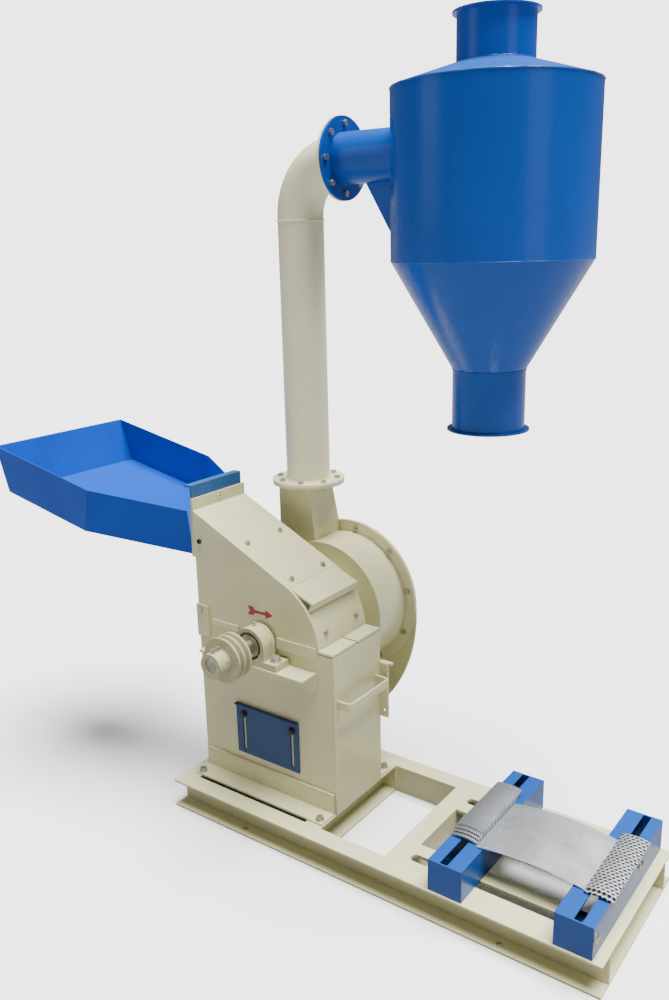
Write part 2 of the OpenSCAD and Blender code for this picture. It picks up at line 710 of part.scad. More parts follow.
// Round cover of the fan, drawn out below into the stay that stands on the outrigger
module back_outline() {
    side_r = 413;
    side_off = 207;
    translate([axis_x, axis_z]) circle(r = ring_r, $fn = 128);
    intersection() {
        translate([axis_x - side_off, axis_z - 26]) circle(r = side_r, $fn = 200);
        translate([axis_x + side_off, axis_z - 26]) circle(r = side_r, $fn = 200);
        translate([axis_x - 220, channel_h]) square([440, axis_z - channel_h]);
    }
    translate([axis_x - plate_foot_half, channel_h]) square([2 * plate_foot_half, 80]);
}
module ring_bolt_places(y) {
    translate([axis_x, y, axis_z]) rotate([-90, 0, 0]) for (i = [0 : 8])
        rotate([0, 0, 36 * i - 84]) translate([ring_bolt_r, 0, 0]) children();
}
module blower_drum() {
    y_in = drum_y0 + drum_t;
    color(steel_cream) difference() {
        union() {
            rod_y(axis_x, axis_z, drum_y0, drum_w, 2 * drum_r);
            rod_y(axis_x, axis_z, drum_y1 - ring_t, ring_t, 2 * ring_r);
        }
        rod_y(axis_x, axis_z, y_in, drum_w, 2 * (drum_r - drum_t));
        rod_y(axis_x, axis_z, drum_y0 - 1, drum_t + 2, 2 * eye_r);
        translate([duct_hole_x0, duct_y - duct_wy / 2 + 2, axis_z + 60]) cube([duct_wx - 4, duct_wy - 4, 150]);
        ring_bolt_places(drum_y1 - ring_t - 1) cylinder(h = ring_t + 2, d = 8);
    }
}
module blower_back_plate() {
    color(steel_cream) {
        difference() {
            plate_y(drum_y1, plate_t) back_outline();
            rod_y(axis_x, axis_z, drum_y1 - 1, plate_t + 2, 40);
            ring_bolt_places(drum_y1 - 1) cylinder(h = plate_t + 2, d = 8);
        }
        difference() {
            translate([axis_x - plate_foot_half, back_y, channel_h]) cube([2 * plate_foot_half, 45, 6]);
            for (sx = [-1, 1]) translate([axis_x + sx * 35, back_y + 27, channel_h - 1]) cylinder(h = 8, d = 10);
        }
    }
}
module blower_bolts() {
    color(zinc) {
        ring_bolt_places(drum_y1) {
            translate([0, 0, -ring_t - 6]) hex_head(14, 6);
            translate([0, 0, -ring_t]) cylinder(h = ring_t + plate_t + 9, d = 8);
            translate([0, 0, plate_t]) hex_head(14, 6.5);
        }
        for (sx = [-1, 1]) translate([axis_x + sx * 35, back_y + 27, channel_h]) {
            translate([0, 0, -10]) cylinder(h = 16, d = 10);
            translate([0, 0, 6]) hex_head(18, 7);
        }
    }
}
// Short box that reaches out behind the base to carry the foot of the fan
module blower_outrigger() {
    len = back_y + 50 - base_w / 2;
    t = 5;
    color(steel_cream) difference() {
        translate([axis_x - plate_foot_half, base_w / 2, 0]) cube([2 * plate_foot_half, len, channel_h]);
        translate([axis_x - plate_foot_half + t, base_w / 2 - 1, t])
            cube([2 * (plate_foot_half - t), len + 2, channel_h - 2 * t]);
        for (sx = [-1, 1]) translate([axis_x + sx * 35, back_y + 27, channel_h - t - 1]) cylinder(h = t + 2, d = 10);
    }
}
// Bolted lug on the back of the casing that steadies the suction box
module blower_brackets() {
    color(steel_cream) difference() {
        union() {
            translate([casing_x1 - 12, casing_y1, axis_z - 232]) cube([34, 6, 147]);
            translate([casing_x1 - 12, casing_y1 + 6, axis_z - 91]) cube([40, 12, 6]);
        }
        for (z = [axis_z - 214, axis_z - 116]) rod_y(casing_x1 + 11, z, casing_y1 - 1, 8, 9);
    }
}
module duct_taper(g) {
    x0 = duct_x - duct_wx / 2 + g;
    y0 = duct_y - duct_wy / 2 + g;
    hull() {
        translate([x0, y0, duct_square_top]) cube([duct_wx - 2 * g, duct_wy - 2 * g, 0.5]);
        translate([x0, y0, duct_joint_z - flange_t - 0.5]) cube([duct_wx - 12 - 2 * g, duct_wy - 15 - 2 * g, 0.5]);
    }
}
module outlet_duct() {
    wall = 2;
    flange_z = duct_joint_z - flange_t;
    x0 = duct_x - duct_wx / 2;
    y0 = duct_y - duct_wy / 2;
    color(steel_cream) difference() {
        union() {
            translate([x0, y0, axis_z + 90]) cube([duct_wx, duct_wy, duct_square_top - axis_z - 90]);
            duct_taper(0);
            translate([duct_x, duct_y, flange_z]) cylinder(h = flange_t, d = flange_d);
        }
        translate([x0 + wall, y0 + wall, axis_z])
            cube([duct_wx - 2 * wall, duct_wy - 2 * wall, duct_square_top - axis_z + eps]);
        duct_taper(wall);
        translate([x0 + wall, y0 + wall, flange_z - 0.2]) cube([duct_wx - 12 - 2 * wall, duct_wy - 15 - 2 * wall, 8]);
        rod_y(axis_x, axis_z, drum_y0 - 1, drum_w + 2, 2 * drum_r);
        translate([duct_x, duct_y, flange_z - 1]) ring_of(8, flange_bolt_r, 22.5) cylinder(h = 8, d = 9);
    }
}
// Flat box on the back of the casing: meal and air rise in it to the eye of the fan
module box_outline(t) {
    translate([axis_x, axis_z]) circle(r = box_half - t, $fn = 96);
    translate([axis_x - box_half + t, box_z0 + t]) square([2 * (box_half - t), axis_z - box_z0 - t]);
}
module suction_box() {
    len = drum_y0 - casing_y1;
    color(steel_cream) difference() {
        plate_y(casing_y1, len) box_outline(0);
        plate_y(casing_y1 - 1, len - box_t + 1) box_outline(box_t);
        rod_y(axis_x, axis_z, drum_y0 - box_t - 1, box_t + 2, 2 * eye_r);
        translate([axis_x - 200, casing_y1 - 1, axis_z - 0.5]) cube([400, 1.6, 300]);
    }
}

flange_d = 190;
flange_t = 6;
flange_bolt_r = 78;
elbow_x = duct_x + bend_r + 6.5;
module delivery_pipe() {
    wall = 2.5;
    bend_z = inlet_z - bend_r;
    color(steel_cream) {
        difference() {
            union() {
                translate([duct_x, duct_y, duct_joint_z]) cylinder(h = bend_z - duct_joint_z, d = pipe_d);
                translate([duct_x, duct_y, duct_joint_z]) cylinder(h = flange_t, d = flange_d);
            }
            translate([duct_x, duct_y, duct_joint_z - 1]) cylinder(h = bend_z - duct_joint_z + 2, d = pipe_d - 2 * wall);
            translate([duct_x, duct_y, duct_joint_z - 1]) ring_of(8, flange_bolt_r, 22.5) cylinder(h = 8, d = 9);
        }
        translate([duct_x + bend_r, duct_y, bend_z]) rotate([90, 0, 0]) rotate([0, 0, 90])
            rotate_extrude(angle = 90) translate([bend_r, 0]) difference() {
                circle(d = pipe_d);
                circle(d = pipe_d - 2 * wall);
            }
        difference() {
            union() {
                rod_x(duct_y, inlet_z, duct_x + bend_r, 6.5, pipe_d);
                rod_x(duct_y, inlet_z, elbow_x - flange_t, flange_t, flange_d);
            }
            rod_x(duct_y, inlet_z, duct_x + bend_r - 1, 12, pipe_d - 2 * wall);
            inlet_bolt_ring() cylinder(h = 30, d = 9, center = true);
        }
    }
}
// Eight places around the flange joint at the cyclone inlet, +Z along the pipe
module inlet_bolt_ring() {
    translate([elbow_x, duct_y, inlet_z]) rotate([0, 90, 0]) ring_of(8, flange_bolt_r, 0) children();
}
module flange_bolt() {
    translate([0, 0, flange_t]) hex_head(15, 6);
    translate([0, 0, -flange_t - 9]) cylinder(h = 2 * flange_t + 9, d = 9);
    translate([0, 0, -flange_t - 7]) hex_head(15, 7);
}
module pipe_flange_bolts() {
    color(zinc) {
        translate([duct_x, duct_y, duct_joint_z]) ring_of(8, flange_bolt_r, 22.5) flange_bolt();
        inlet_bolt_ring() flange_bolt();
    }
}

// ---------------------------------------------------------------- cyclone
sheet = 2.5;
cone_bottom_z = 1136;
lid_top_z = 1768;
inlet_d = 118;
module cyclone_body() {
    r = cyclone_r;
    color(steel_blue) difference() {
        translate([cyclone_x, duct_y, 0]) rotate_extrude($fn = 96)
            polygon([[r, lid_z], [r, cone_top_z], [tube_r, cone_bottom_z], [tube_r, bottom_z + 4],
                     [tube_r + 11, bottom_z + 4], [tube_r + 11, bottom_z], [tube_r - sheet, bottom_z],
                     [tube_r - sheet, cone_bottom_z], [r - sheet, cone_top_z], [r - sheet, lid_z]]);
        rod_x(duct_y, inlet_z, cyclone_x - r - 1, r, inlet_d - 5);
    }
}
module cyclone_lid() {
    r = cyclone_r;
    dip = lid_z - 150;
    color(steel_blue) translate([cyclone_x, duct_y, 0]) rotate_extrude($fn = 96)
        polygon([[r, lid_z], [r, lid_z + 3], [tube_r, lid_top_z], [tube_r, top_z - 4], [tube_r + 9, top_z - 4],
                 [tube_r + 9, top_z], [tube_r - sheet, top_z], [tube_r - sheet, dip], [tube_r, dip],
                 [tube_r, lid_top_z - 4], [r - sheet, lid_z]]);
}
module cyclone_inlet() {
    wall_x = cyclone_x - cyclone_r;
    low_z = inlet_z - inlet_d / 2;
    color(steel_blue) difference() {
        union() {
            rod_x(duct_y, inlet_z, elbow_x, cyclone_x - elbow_x, inlet_d);
            rod_x(duct_y, inlet_z, elbow_x, flange_t, flange_d);
            plate_y(duct_y - 3, 6) polygon([[elbow_x + 66, low_z + 2], [wall_x + 6, low_z + 2],
                                            [wall_x + 6, cone_top_z + 4], [wall_x - 4, cone_top_z + 4]]);
        }
        rod_x(duct_y, inlet_z, elbow_x - 1, cyclone_x - elbow_x + 2, inlet_d - 5);
        translate([cyclone_x, duct_y, cone_top_z - 50]) cylinder(h = 400, r = cyclone_r, $fn = 96);
        inlet_bolt_ring() cylinder(h = 30, d = 9, center = true);
    }
}

// ---------------------------------------------------------------- motor rails
rail_y0 = -base_w / 2 + 5;
rail_len = base_w - 10;
rail_t = 4;
module motor_rail(xc, slot_shift) {
    x0 = xc - rail_w / 2;
    color(steel_blue) {
        difference() {
            translate([x0, rail_y0, channel_h]) cube([rail_w, rail_len, rail_h]);
            translate([x0 + rail_t, rail_y0 + rail_t, channel_h - 1])
                cube([rail_w - 2 * rail_t, rail_len - 2 * rail_t, rail_h - rail_t + 1]);
            translate([xc + slot_shift - rail_slot / 2, rail_y0 + rail_t, channel_h])
                cube([rail_slot, rail_len - 2 * rail_t, rail_h + 1]);
        }
        for (s = [-1, 1]) difference() {
            translate([x0 + rail_t, s * guide_slot_y - 25, channel_h]) cube([rail_w - 2 * rail_t, 50, 8]);
            translate([xc, s * guide_slot_y, channel_h - 1]) cylinder(h = 10, d = 13);
        }
    }
}
module motor_rail_1() { motor_rail(rail_1_x, -5); }
module motor_rail_2() { motor_rail(rail_2_x, 7); }
module rail_clamp_bolts(xc) {
    for (s = [-1, 1]) translate([xc, s * guide_slot_y, channel_h]) {
        translate([0, 0, 8]) hex_head(20, 10);
        translate([0, 0, -guide_t - 14]) cylinder(h = guide_t + 28, d = 12);
        translate([0, 0, -guide_t - 11]) cylinder(h = 10.8, d = 34);
    }
}
module rail_bolts_1() { color(zinc) rail_clamp_bolts(rail_1_x); }
module rail_bolts_2() { color(zinc) rail_clamp_bolts(rail_2_x); }

// ---------------------------------------------------------------- spare sheets
rail_top = channel_h + rail_h;
module arched_sheet(w, len, rise, t) {
    r = (w * w / 4 + rise * rise) / (2 * rise);
    half = asin(w / 2 / r);
    translate([w / 2, len, rise - r + t]) rotate([90, 0, 0]) rotate([0, 0, 90 - half])
        rotate_extrude(angle = 2 * half, $fn = 128) translate([r - t, 0]) square([t, len]);
}
module spare_sheet() {
    color(bare_steel) translate([251, -115, rail_top + 0.3]) arched_sheet(245, 193, 12, 2);
}
module spare_screens_left() {
    color(bare_steel) for (k = [0 : 3])
        translate([186, -107 + 9 * k, rail_top + 0.3 + 3.7 * k]) arched_sheet(64, 200, 5, 3);
}
module spare_screens_right() {
    color(bare_steel) for (k = [0, 1])
        translate([497, -123 + 10 * k, rail_top + 0.3 + 3.7 * k]) arched_sheet(63, 214, 5, 3);
}

base_front_channel();
base_back_channel();
base_end_channels();
mill_cross_channel();
middle_cross_channel();
motor_guides();
lower_casing();
casing_feet();
foot_bolts();
slide_door();
door_bolts();
grab_handle();
bearing_shelf_front();
bearing_shelf_rear();
bearing_housing_front();
bearing_housing_rear();
bearing_inner_rings();
bearing_bolts();
screen();
cover_shell();
cover_handle();
cover_strips();
liner_bolts();
breaker_liner();
hinge_leaves();
hinge_bolts();
mouth_flange();
feed_gate();
feed_tray();
rotor_shaft();
rotor_discs();
rotor_sleeves();
hammer_pins();
hammers_row_1();
hammers_row_2();
hammers_row_3();
hammers_row_4();
pulley();
pulley_set_screws();
pulley_key();
impeller();
blower_drum();
blower_back_plate();
blower_bolts();
blower_brackets();
blower_outrigger();
outlet_duct();
suction_box();
delivery_pipe();
pipe_flange_bolts();
cyclone_body();
cyclone_lid();
cyclone_inlet();
motor_rail_1();
motor_rail_2();
rail_bolts_1();
rail_bolts_2();
spare_screens_left();
spare_sheet();
spare_screens_right();
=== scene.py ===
# Hammer mill with feed tray, suction blower, delivery pipe, cyclone and motor rails.
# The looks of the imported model: paint, metal, welds and small fittings, then floor, light and camera.
import math

import bmesh
import bpy
from mathutils import Matrix, Vector


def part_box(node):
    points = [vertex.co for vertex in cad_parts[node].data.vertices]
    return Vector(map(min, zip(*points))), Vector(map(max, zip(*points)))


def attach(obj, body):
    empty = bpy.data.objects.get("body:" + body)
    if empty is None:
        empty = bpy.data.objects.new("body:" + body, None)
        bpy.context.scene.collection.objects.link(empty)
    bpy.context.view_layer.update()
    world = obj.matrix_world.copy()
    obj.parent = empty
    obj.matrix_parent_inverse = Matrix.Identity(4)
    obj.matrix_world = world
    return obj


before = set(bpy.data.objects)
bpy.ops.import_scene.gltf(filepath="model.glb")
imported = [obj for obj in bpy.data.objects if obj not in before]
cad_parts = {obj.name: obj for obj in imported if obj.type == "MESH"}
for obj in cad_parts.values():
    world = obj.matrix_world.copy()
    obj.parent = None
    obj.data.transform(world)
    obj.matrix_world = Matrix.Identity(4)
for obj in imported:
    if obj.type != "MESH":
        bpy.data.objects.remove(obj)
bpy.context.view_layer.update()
bpy.ops.object.select_all(action="DESELECT")

# ---- Finishes --------------------------------------------------------------------------------
# Every finish grows from noise over the part's own coordinates. The seed moves that noise, so
# that two finishes don't repeat.


class Wire:
    """A value that runs through the nodes of one finish."""

    def __init__(self, tree, socket=None):
        self.tree, self.socket = tree, socket

    def put(self, kind, settings=(), sockets=(), out=0):
        node = self.tree.nodes.new(kind)
        for key, value in dict(settings).items():
            if key == "stops":
                ramp = node.color_ramp
                while len(ramp.elements) < len(value):
                    ramp.elements.new(0.5)
                for stop, (place, grey) in zip(ramp.elements, value):
                    stop.position = place
                    stop.color = (grey, grey, grey, 1)
            else:
                setattr(node, key, value)
        for key, value in dict(sockets).items():
            if isinstance(value, Wire):
                self.tree.links.new(value.socket, node.inputs[key])
            else:
                node.inputs[key].default_value = value
        return Wire(self.tree, node.outputs[out]) if len(node.outputs) else None

    def worked(self, operation, a, b):
        return self.put("ShaderNodeMath", {"operation": operation}, {0: a, 1: b})

    def __add__(self, other):
        return self.worked("ADD", self, other)

    __radd__ = __add__

    def __mul__(self, other):
        return self.worked("MULTIPLY", self, other)

    def __sub__(self, other):
        return self.worked("SUBTRACT", self, other)

    def __rsub__(self, other):
        return self.worked("SUBTRACT", other, self)

    def steps(self, *stops):
        return self.put("ShaderNodeValToRGB", {"stops": stops}, {0: self})

    def blend(self, low, high):
        return self.put("ShaderNodeMix", {"data_type": "RGBA"}, {0: self, 6: low, 7: high}, out=2)


def new_finish(name):
    material = bpy.data.materials.new(name)
    material.use_nodes = True
    material.node_tree.nodes.clear()
    wire = Wire(material.node_tree)
    place = wire.put("ShaderNodeTexCoord", out=3)
    return material, wire, place


def close_finish(wire, **sockets):
    shader = wire.put("ShaderNodeBsdfPrincipled", {}, {k.replace("_", " "): v for k, v in sockets.items()})
    wire.put("ShaderNodeOutputMaterial", {}, {"Surface": shader})


def speckle(wire, place, scale, detail=2.0, rough=0.5):
    """Grey noise, with scale in grains per metre."""
    return wire.put("ShaderNodeTexNoise", {}, {"Vector": place, "Scale": scale, "Detail": detail, "Roughness": rough})


def stretched(wire, place, x, y, z, shift=0.0):
    """The same place, squeezed along each axis and moved so that two finishes don't repeat."""
    return wire.put("ShaderNodeMapping", {}, {"Vector": place, "Location": (shift, shift, shift), "Scale": (x, y, z)})


def enamel(name, colour, deep, dusty, rough=0.3, seed=0.0, dust=0.25, wear=0.5, shine=0.5):
    """Sprayed enamel: orange peel, thin and thick coats, faint runs, dust on top, chipped edges.

    dust and wear run from 0 to 1, and shine is how strongly the paint mirrors.
    """
    material, wire, place = new_finish(name)
    here = stretched(wire, place, 1, 1, 1, seed)
    coats = speckle(wire, here, 4.5, 4.0, 0.6).steps((0.35, 0.0), (0.7, 1.0))
    runs = speckle(wire, stretched(wire, place, 22, 22, 1.6, seed), 1.0, 3.0, 0.6).steps((0.5, 0.0), (0.75, 1.0))
    grit = speckle(wire, here, 90, 3.0, 0.7).steps((0.5, 0.0), (0.72, 1.0))
    round_edge = wire.put("ShaderNodeBevel", {"samples": 6}, {"Radius": 0.0018})
    flat = wire.put("ShaderNodeNewGeometry", {}, {}, out=1)
    turn = wire.put("ShaderNodeVectorMath", {"operation": "DOT_PRODUCT"}, {0: round_edge, 1: flat}, out=1)
    edge = (1.0 - turn).steps((0.02, 0.0), (0.16, 1.0))
    up = wire.put("ShaderNodeSeparateXYZ", {}, {"Vector": flat}, out=2).steps((0.55, 0.0), (0.98, 1.0))
    paint = (coats * 0.75 + runs * 0.2).blend(colour, deep)
    paint = (up * dust * (0.35 + grit * 0.65)).blend(paint, dusty)
    chips = (edge * speckle(wire, here, 140, 2.0).steps((0.58, 0.0), (0.66, 1.0))) * wear
    paint = chips.blend(paint, (0.10, 0.09, 0.08, 1))
    peel = speckle(wire, here, 260, 2.0, 0.5) * 0.3 + speckle(wire, here, 9, 1.0, 0.4)
    relief = wire.put("ShaderNodeBump", {}, {"Strength": 0.18, "Distance": 0.0020, "Height": peel,
                                             "Normal": round_edge})
    close_finish(wire, Base_Color=paint, Roughness=coats * 0.10 + up * dust * 0.35 + chips * 0.3 + rough,
                 Specular_IOR_Level=shine, Coat_Weight=shine / 2, Coat_Roughness=0.12, Normal=relief)
    return material


def dress(node, material):
    """Gives a CAD node its finish."""
    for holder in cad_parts[node].material_slots:
        holder.material = material


# ---- Base frame ------------------------------------------------------------------------------
# Two long folded channels, two end channels and two cross channels, all 75 mm high and of 5 mm
# sheet. They are welded where they meet and sprayed cream after welding.
cream = (0.625, 0.60, 0.345, 1)
cream_deep = (0.535, 0.505, 0.275, 1)
cream_dust = (0.62, 0.60, 0.40, 1)
base_paint = enamel("base_cream_paint", cream, cream_deep, cream_dust, 0.36, 1.0, 0.35, 0.8)
for channel in ("base_front_channel", "base_back_channel", "base_end_channels"):
    dress(channel, base_paint)
cross_paint = enamel("cross_channel_paint", cream, cream_deep, cream_dust, 0.38, 2.0, 0.4, 0.8)
for channel in ("mill_cross_channel", "middle_cross_channel"):
    dress(channel, cross_paint)


def take(test, kind="FACE"):
    """Selects, in edit mode, the faces whose middle passes the test, or the points that pass it."""
    bpy.ops.mesh.select_mode(type=kind)
    bpy.ops.mesh.select_all(action="DESELECT")
    shape = bmesh.from_edit_mesh(bpy.context.edit_object.data)
    for part in shape.faces if kind == "FACE" else shape.verts:
        if test(part.calc_center_median() if kind == "FACE" else part.co):
            part.select_set(True)
    shape.select_flush(True)
    bmesh.update_edit_mesh(bpy.context.edit_object.data)


def settle(piece, name, body, material, smooth=50):
    """Names a finished piece, puts its place into its mesh and lets it ride on its body."""
    bpy.ops.object.select_all(action="DESELECT")
    piece.select_set(True)
    bpy.context.view_layer.objects.active = piece
    for modifier in list(piece.modifiers):
        bpy.ops.object.modifier_apply(modifier=modifier.name)
    bpy.ops.object.transform_apply(location=True, rotation=True, scale=True)
    bpy.ops.object.shade_smooth_by_angle(angle=math.radians(smooth))
    piece.name = piece.data.name = name
    piece.data.materials.clear()
    piece.data.materials.append(material)
    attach(piece, body)
    piece.select_set(False)
    return piece


def joined(pieces):
    """Makes one piece of several."""
    bpy.ops.object.select_all(action="DESELECT")
    for piece in pieces:
        piece.select_set(True)
    bpy.context.view_layer.objects.active = pieces[0]
    bpy.ops.object.join()
    return pieces[0]


ripple_pitch = 0.006


def straight_bead(start, end, width, seed):
    """A run of weld along a corner: a rod with a rippled top."""
    a, b = Vector(start), Vector(end)
    length = (b - a).length
    bpy.ops.mesh.primitive_cylinder_add(vertices=8, radius=width / 2, depth=length, end_fill_type="TRIFAN")
    bead = bpy.context.object
    bpy.ops.object.mode_set(mode="EDIT")
    bpy.ops.mesh.select_all(action="SELECT")
    bpy.ops.mesh.bisect(plane_co=(0, 0, 0), plane_no=(0, 0, 1))
    ripples = max(3, int(length / ripple_pitch))
    for step in range(1, ripples):
        bpy.ops.mesh.select_all(action="SELECT")
        bpy.ops.mesh.bisect(plane_co=(0, 0, -length / 2 + length * step / ripples), plane_no=(0, 0, 1))
    bpy.ops.mesh.select_all(action="SELECT")
    bpy.ops.transform.vertex_random(offset=width * 0.14, seed=seed)
    bpy.ops.object.mode_set(mode="OBJECT")
    bead.matrix_world = Matrix.Translation((a + b) / 2) @ (b - a).to_track_quat("Z", "Y").to_matrix().to_4x4()
    bpy.ops.object.transform_apply(location=True, rotation=True, scale=True)
    return bead


# Upright welds at both ends of the two cross channels, between the flanges.
low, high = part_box("middle_cross_channel")
mill_low, mill_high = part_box("mill_cross_channel")
bead_foot, bead_top, bead_width = 0.012, 0.072, 0.005
beads = []
for x in (low.x, high.x, mill_low.x, mill_high.x):
    for y in (low.y * 0.9995, high.y * 0.9995):
        beads.append(straight_bead((x, y, bead_foot), (x, y, bead_top), bead_width, len(beads)))
settle(joined(beads), "base_weld_beads", "frame", base_paint)

# ---- Motor guides ----------------------------------------------------------------------------
# Two 8 mm plates with a long slot each, welded between the middle and the end cross channel, in
# which the clamp bolts of the motor rails run. Cream paint with chipped edges; the bright rubbing along the slots is
# not drawn.
guide_paint = enamel("motor_guide_paint", cream, cream_deep, cream_dust, 0.42, 3.0, 0.5, 1.0)
dress("motor_guides", guide_paint)

# ---- Lower casing ----------------------------------------------------------------------------
# A welded box of 5 mm plate that holds the screen under the rotor. It stands on two 50 mm angles,
# One coat of gloss cream; the grinding marks that show through it are not drawn.
casing_paint = enamel("casing_cream_paint", cream, cream_deep, cream_dust, 0.27, 4.0, 0.2, 0.6)
dress("lower_casing", casing_paint)
feet_paint = enamel("casing_feet_paint", cream, cream_deep, cream_dust, 0.33, 5.0, 0.35, 0.7)
dress("casing_feet", feet_paint)
case_low, case_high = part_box("lower_casing")
feet_low, feet_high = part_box("casing_feet")
seam_foot, seam_top = 0.09, 0.482
angle_face = case_low.y - 0.0055
corner_beads = [
    straight_bead((case_high.x, case_low.y, seam_foot), (case_high.x, case_low.y, seam_top), 0.0035, 31),
    straight_bead((feet_low.x + 0.01, angle_face, feet_high.z), (feet_high.x - 0.01, angle_face, feet_high.z),
                  0.004, 32),
]
settle(joined(corner_beads), "casing_weld_beads", "frame", casing_paint)


def plated(name, colour, rough=0.35, seed=0.0, grime=0.4, metal=0.9):
    """Zinc-plated or plain steel fasteners: cloudy plating with grime in it."""
    material, wire, place = new_finish(name)
    here = stretched(wire, place, 1, 1, 1, seed)
    clouds = speckle(wire, here, 120, 4.0, 0.6).steps((0.3, 0.0), (0.7, 1.0))
    dirt = speckle(wire, here, 45, 3.0, 0.7).steps((0.5, 0.0), (0.75, 1.0)) * grime
    round_edge = wire.put("ShaderNodeBevel", {"samples": 4}, {"Radius": 0.0009})
    tint = clouds.blend(colour, tuple(c * 0.78 for c in colour[:3]) + (1,))
    tint = dirt.blend(tint, (0.16, 0.14, 0.11, 1))
    relief = wire.put("ShaderNodeBump", {}, {"Strength": 0.2, "Distance": 0.0005, "Height": clouds,
                                             "Normal": round_edge})
    close_finish(wire, Base_Color=tint, Roughness=clouds * 0.12 + dirt * 0.3 + rough, Metallic=metal - dirt * 0.5,
                 Normal=relief)
    return material


dress("foot_bolts", plated("foot_bolt_plating", (0.42, 0.40, 0.31, 1), 0.36, 1.0, 0.7))

# ---- Slide door ------------------------------------------------------------------------------
# A 4 mm blue plate with two long slots, over the cleaning window. It slides up when the two black
# bolts at the tops of the slots are eased, and its top edge is bent out as a grip.
door_blue = (0.008, 0.045, 0.16, 1)
door_deep = (0.006, 0.036, 0.13, 1)
door_dust = (0.10, 0.14, 0.23, 1)
dress("slide_door", enamel("slide_door_blue", door_blue, door_deep, door_dust, 0.4, 6.0, 0.2, 0.5, 0.3))
dress("door_bolts", plated("door_bolt_black", (0.03, 0.03, 0.032, 1), 0.42, 2.0, 0.3, 0.4))

# ---- Grab handle -----------------------------------------------------------------------------
# Flat bar bent twice and welded to the end of the casing, to pull or carry the mill by.
dress("grab_handle", enamel("grab_handle_paint", cream, cream_deep, cream_dust, 0.3, 7.0, 0.3, 1.0))

# ---- Bearings --------------------------------------------------------------------------------
# Two cast plummer blocks, painted cream over rough cast iron, bolted to angle shelves in front and
# behind. Each has a bright inner ring, which turns with the shaft, and a grease nipple on top.
shelf_paint = enamel("bearing_shelf_paint", cream, cream_deep, cream_dust, 0.3, 8.0, 0.3, 0.8)
dress("bearing_shelf_front", shelf_paint)
dress("bearing_shelf_rear", shelf_paint)


def cast_paint(name, colour, deep, seed):
    """Paint over a rough casting: pits and grains show through it."""
    material, wire, place = new_finish(name)
    here = stretched(wire, place, 1, 1, 1, seed)
    grains = speckle(wire, here, 170, 5.0, 0.65)
    pits = speckle(wire, here, 60, 2.0, 0.5).steps((0.28, 1.0), (0.36, 0.0))
    round_edge = wire.put("ShaderNodeBevel", {"samples": 6}, {"Radius": 0.003})
    tint = (grains.steps((0.35, 0.0), (0.7, 1.0)) * 0.6).blend(colour, deep)
    tint = (pits * 0.5).blend(tint, (0.13, 0.12, 0.10, 1))
    relief = wire.put("ShaderNodeBump", {}, {"Strength": 0.55, "Distance": 0.0016, "Height": grains - pits * 0.5,
                                             "Normal": round_edge})
    close_finish(wire, Base_Color=tint, Roughness=grains * 0.2 + 0.32, Coat_Weight=0.15, Normal=relief)
    return material


housing_paint = cast_paint("bearing_housing_paint", (0.48, 0.465, 0.26, 1), (0.37, 0.35, 0.18, 1), 9.0)
dress("bearing_housing_front", housing_paint)
dress("bearing_housing_rear", housing_paint)


def turned_steel(name, colour, rough=0.22, seed=0.0, rings=900.0, axis="Y"):
    """Lathe-turned bright steel with fine tool marks round the shaft."""
    material, wire, place = new_finish(name)
    lines = wire.put("ShaderNodeTexWave", {"bands_direction": axis},
                     {"Vector": place, "Scale": rings / 6.3, "Distortion": 1.5, "Detail": 2.0, "Detail Scale": 6.0})
    stain = speckle(wire, stretched(wire, place, 1, 1, 1, seed), 38, 4.0, 0.65).steps((0.5, 0.0), (0.72, 1.0))
    round_edge = wire.put("ShaderNodeBevel", {"samples": 4}, {"Radius": 0.001})
    tint = (stain * 0.55).blend(colour, tuple(c * 0.5 for c in colour[:3]) + (1,))
    relief = wire.put("ShaderNodeBump", {}, {"Strength": 0.12, "Distance": 0.0002, "Height": lines,
                                             "Normal": round_edge})
    close_finish(wire, Base_Color=tint, Roughness=stain * 0.25 + lines * 0.06 + rough, Metallic=1.0 - stain * 0.4,
                 Normal=relief)
    return material


dress("bearing_inner_rings", turned_steel("bearing_ring_steel", (0.42, 0.40, 0.32, 1), 0.48, 1.0))
dress("bearing_bolts", plated("bearing_bolt_plating", (0.52, 0.50, 0.44, 1), 0.36, 3.0, 0.6))

# Grease nipples: a six-sided foot, a neck and a round head on top of each block.
nipples = []
nipple_steel = plated("grease_nipple_plating", (0.60, 0.56, 0.42, 1), 0.3, 4.0, 0.3)
for housing in ("bearing_housing_front", "bearing_housing_rear"):
    low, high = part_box(housing)
    bpy.ops.mesh.primitive_cylinder_add(vertices=6, radius=0.0050, depth=0.005,
                                        location=((low.x + high.x) / 2, (low.y + high.y) / 2, high.z + 0.0015))
    nipple = bpy.context.object
    bpy.ops.object.transform_apply(location=True, rotation=True, scale=True)
    top = high.z + 0.004
    bpy.ops.object.mode_set(mode="EDIT")
    for rise, scale in ((0.0005, 0.62), (0.003, 0.75), (0.0004, 1.35), (0.0022, 0.9), (0.001, 0.6)):
        take(lambda c, t=top: c.z > t - 0.0001)
        bpy.ops.mesh.extrude_region_move(TRANSFORM_OT_translate={"value": (0, 0, rise)})
        bpy.ops.transform.resize(value=(scale, scale, 1),
                                 center_override=((low.x + high.x) / 2, (low.y + high.y) / 2, top + rise))
        top += rise
    bpy.ops.object.mode_set(mode="OBJECT")
    nipples.append(nipple)
settle(joined(nipples), "grease_nipples", "frame", nipple_steel)

# ---- Screen ----------------------------------------------------------------------------------
# Half-round perforated sheet under the rotor, 3 mm thick, that sets how fine the meal is.


